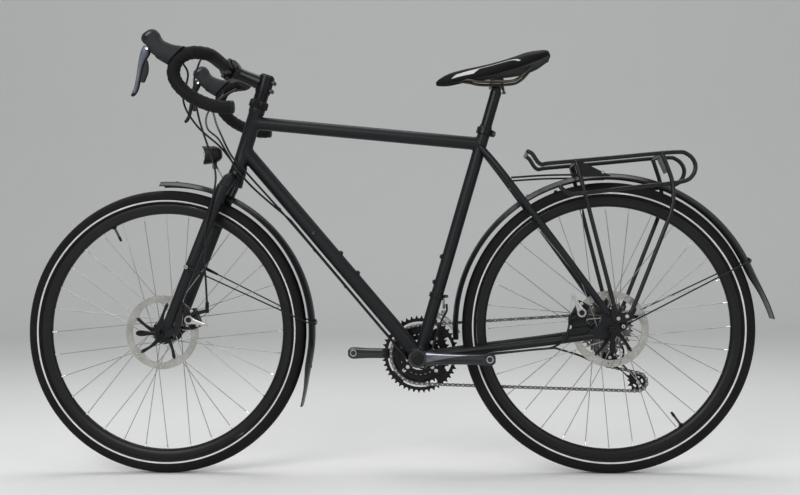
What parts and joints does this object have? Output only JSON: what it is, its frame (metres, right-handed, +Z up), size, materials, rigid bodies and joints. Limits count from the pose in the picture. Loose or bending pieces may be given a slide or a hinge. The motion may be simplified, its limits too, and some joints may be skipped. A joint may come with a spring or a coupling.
{
  "type": "touring bicycle",
  "caption": "Drop-bar touring bicycle with disc brakes, mudguards and a rear rack; it steers, rolls, pedals, brakes and shifts.",
  "frame": {"origin": "on the ground, midway along the bicycle's length, in its centre plane", "axes": "+X forward, +Y to the rider's left, +Z up"},
  "size_m": [1.817, 0.4644, 1.0491],
  "materials": {
    "matte_black": "matte",
    "gloss_black": "satin",
    "black_plastic": "matte",
    "rubber": "matte",
    "hood_rubber": "matte",
    "tape": "matte",
    "silver": "satin",
    "dark_steel": "satin",
    "rotor_steel": "satin",
    "lever_metal": "satin",
    "saddle_cover": "satin"
  },
  "bodies": {
    "frame_body": {"frame": "matte_black", "bottom_bracket": "dark_steel", "seat_collar": "gloss_black", "rear_axle": "dark_steel", "rear_brake_caliper": "black_plastic", "rear_derailleur_body": "black_plastic", "front_derailleur_clamp": "black_plastic", "chain": "dark_steel", "rear_mudguard": "black_plastic", "rear_mudguard_stay": "gloss_black", "rack": "gloss_black", "rear_brake_cable": "black_plastic", "rear_shift_cable": "black_plastic", "front_shift_cable": "black_plastic"},
    "saddle_body": {"seatpost": "gloss_black", "saddle_rails": "dark_steel", "saddle": "saddle_cover"},
    "steering_body": {"fork": "matte_black", "stem": "gloss_black", "stem_faceplate": "gloss_black", "headset_spacers": "gloss_black", "handlebar": "gloss_black", "left_bar_tape": "tape", "right_bar_tape": "tape", "left_hood": "hood_rubber", "right_hood": "hood_rubber", "front_brake_caliper": "black_plastic", "front_mudguard": "black_plastic", "front_mudguard_stay": "gloss_black", "headlight_bracket": "gloss_black", "front_brake_cable": "black_plastic", "front_axle": "dark_steel"},
    "headlight_body": {"headlight": "black_plastic"},
    "left_lever_body": {"left_brake_lever": "lever_metal"},
    "left_paddle_body": {"left_shift_paddle": "black_plastic"},
    "right_lever_body": {"right_brake_lever": "lever_metal"},
    "right_paddle_body": {"right_shift_paddle": "black_plastic"},
    "front_quick_release_body": {"front_quick_release_lever": "gloss_black"},
    "rear_quick_release_body": {"rear_quick_release_lever": "gloss_black"},
    "front_caliper_arm_body": {"front_caliper_arm": "silver"},
    "rear_caliper_arm_body": {"rear_caliper_arm": "silver"},
    "front_wheel_body": {"front_tyre": "rubber", "front_rim": "gloss_black", "front_hub_and_spokes": "silver", "front_rotor": "rotor_steel"},
    "rear_wheel_body": {"rear_tyre": "rubber", "rear_rim": "gloss_black", "rear_hub_and_spokes": "silver", "rear_rotor": "rotor_steel"},
    "cassette_body": {"cassette": "dark_steel"},
    "crank_body": {"right_crank": "gloss_black", "outer_chainring": "dark_steel", "left_crank": "gloss_black"},
    "rear_derailleur_link_body": {"rear_derailleur_link": "gloss_black"},
    "rear_derailleur_knuckle_body": {"rear_derailleur_knuckle": "black_plastic"},
    "rear_derailleur_cage_body": {"rear_derailleur_cage": "black_plastic"},
    "guide_pulley_body": {"guide_pulley": "black_plastic"},
    "tension_pulley_body": {"tension_pulley": "black_plastic"},
    "front_derailleur_link_body": {"front_derailleur_link": "silver"},
    "front_derailleur_cage_body": {"front_derailleur_cage": "silver"}
  },
  "joints": [
    {"name": "steering_turn", "type": "hinge", "parent": "frame_body", "child": "steering_body", "pos_m": [0.37713, 0, 0.742], "axis": [-0.309, 0, 0.9511], "range_deg": [-60, 60], "deforming": ["rear_brake_cable", "rear_shift_cable", "front_shift_cable"]},
    {"name": "front_wheel_spin", "type": "hinge", "parent": "steering_body", "child": "front_wheel_body", "pos_m": [0.5595, 0, 0.349], "axis": [0, 1, 0], "continuous": true},
    {"name": "rear_wheel_spin", "type": "hinge", "parent": "frame_body", "child": "rear_wheel_body", "pos_m": [-0.5185, 0, 0.349], "axis": [0, 1, 0], "continuous": true},
    {"name": "crank_spin", "type": "hinge", "parent": "frame_body", "child": "crank_body", "pos_m": [-0.06528, 0, 0.283], "axis": [0, 1, 0], "continuous": true, "deforming": ["chain"]},
    {"name": "cassette_spin", "type": "hinge", "parent": "frame_body", "child": "cassette_body", "pos_m": [-0.5185, 0, 0.349], "axis": [0, 1, 0], "continuous": true},
    {"name": "saddle_height", "type": "slide", "parent": "frame_body", "child": "saddle_body", "axis": [-0.2924, 0, 0.9563], "range_m": [-0.04, 0.09]},
    {"name": "headlight_tilt", "type": "hinge", "parent": "steering_body", "child": "headlight_body", "pos_m": [0.4355, 0, 0.755], "axis": [0, 1, 0], "range_deg": [-15, 20]},
    {"name": "left_brake_pull", "type": "hinge", "parent": "steering_body", "child": "left_lever_body", "pos_m": [0.5301, 0.215, 1.0024], "axis": [0, 1, 0], "range_deg": [0, 18], "stiffness_Nm_per_rad": 1},
    {"name": "left_shift_sweep", "type": "hinge", "parent": "left_lever_body", "child": "left_paddle_body", "pos_m": [0.5365, 0.215, 0.976], "axis": [-1, 0, 0], "range_deg": [0, 20], "stiffness_Nm_per_rad": 0.2},
    {"name": "right_brake_pull", "type": "hinge", "parent": "steering_body", "child": "right_lever_body", "pos_m": [0.5301, -0.215, 1.0024], "axis": [0, 1, 0], "range_deg": [0, 18], "stiffness_Nm_per_rad": 1},
    {"name": "right_shift_sweep", "type": "hinge", "parent": "right_lever_body", "child": "right_paddle_body", "pos_m": [0.5365, -0.215, 0.976], "axis": [1, 0, 0], "range_deg": [0, 20], "stiffness_Nm_per_rad": 0.2},
    {"name": "front_quick_release_turn", "type": "hinge", "parent": "steering_body", "child": "front_quick_release_body", "pos_m": [0.5595, 0.0733, 0.349], "axis": [0, 0, 1], "range_deg": [0, 180]},
    {"name": "rear_quick_release_turn", "type": "hinge", "parent": "frame_body", "child": "rear_quick_release_body", "pos_m": [-0.5185, 0.0908, 0.349], "axis": [1, 0, 0], "range_deg": [0, 180]},
    {"name": "front_caliper_pull", "type": "hinge", "parent": "steering_body", "child": "front_caliper_arm_body", "pos_m": [0.4835, 0.074, 0.38], "axis": [0, 1, 0], "range_deg": [0, 25], "stiffness_Nm_per_rad": 0.5, "deforming": ["front_brake_cable"]},
    {"name": "rear_caliper_pull", "type": "hinge", "parent": "frame_body", "child": "rear_caliper_arm_body", "pos_m": [-0.4495, 0.086, 0.389], "axis": [0, 1, 0], "range_deg": [0, 25], "stiffness_Nm_per_rad": 0.5, "deforming": ["rear_brake_cable"]},
    {"name": "rear_derailleur_shift", "type": "hinge", "parent": "frame_body", "child": "rear_derailleur_link_body", "pos_m": [-0.5065, -0.086, 0.31], "axis": [1, 0, 0], "range_deg": [-12, 12], "deforming": ["chain", "rear_shift_cable"]},
    {"name": "rear_derailleur_level", "type": "hinge", "parent": "rear_derailleur_link_body", "child": "rear_derailleur_knuckle_body", "pos_m": [-0.5035, -0.073, 0.273], "axis": [1, 0, 0], "range_deg": [-12, 12]},
    {"name": "rear_cage_swing", "type": "hinge", "parent": "rear_derailleur_knuckle_body", "child": "rear_derailleur_cage_body", "pos_m": [-0.5305, -0.0539, 0.272], "axis": [0, 1, 0], "range_deg": [-15, 25], "stiffness_Nm_per_rad": 1.5, "deforming": ["chain"]},
    {"name": "guide_pulley_spin", "type": "hinge", "parent": "rear_derailleur_cage_body", "child": "guide_pulley_body", "pos_m": [-0.5305, -0.0539, 0.272], "axis": [0, 1, 0], "continuous": true},
    {"name": "tension_pulley_spin", "type": "hinge", "parent": "rear_derailleur_cage_body", "child": "tension_pulley_body", "pos_m": [-0.59722, -0.0539, 0.2116], "axis": [0, 1, 0], "continuous": true},
    {"name": "front_derailleur_shift", "type": "hinge", "parent": "frame_body", "child": "front_derailleur_link_body", "pos_m": [-0.12601, -0.025, 0.42131], "axis": [1, 0, 0], "range_deg": [-12, 12], "deforming": ["chain", "front_shift_cable"]},
    {"name": "front_derailleur_level", "type": "hinge", "parent": "front_derailleur_link_body", "child": "front_derailleur_cage_body", "pos_m": [-0.12601, -0.036, 0.39532], "axis": [1, 0, 0], "range_deg": [-12, 12]}
  ],
  "couplings": [
    {"joint": "cassette_spin", "follows": "crank_spin", "ratio": 2.4},
    {"joint": "guide_pulley_spin", "follows": "crank_spin", "ratio": -3.2727},
    {"joint": "tension_pulley_spin", "follows": "crank_spin", "ratio": 3.2727},
    {"joint": "rear_derailleur_level", "follows": "rear_derailleur_shift", "ratio": -1},
    {"joint": "front_derailleur_level", "follows": "front_derailleur_shift", "ratio": -1}
  ]
}
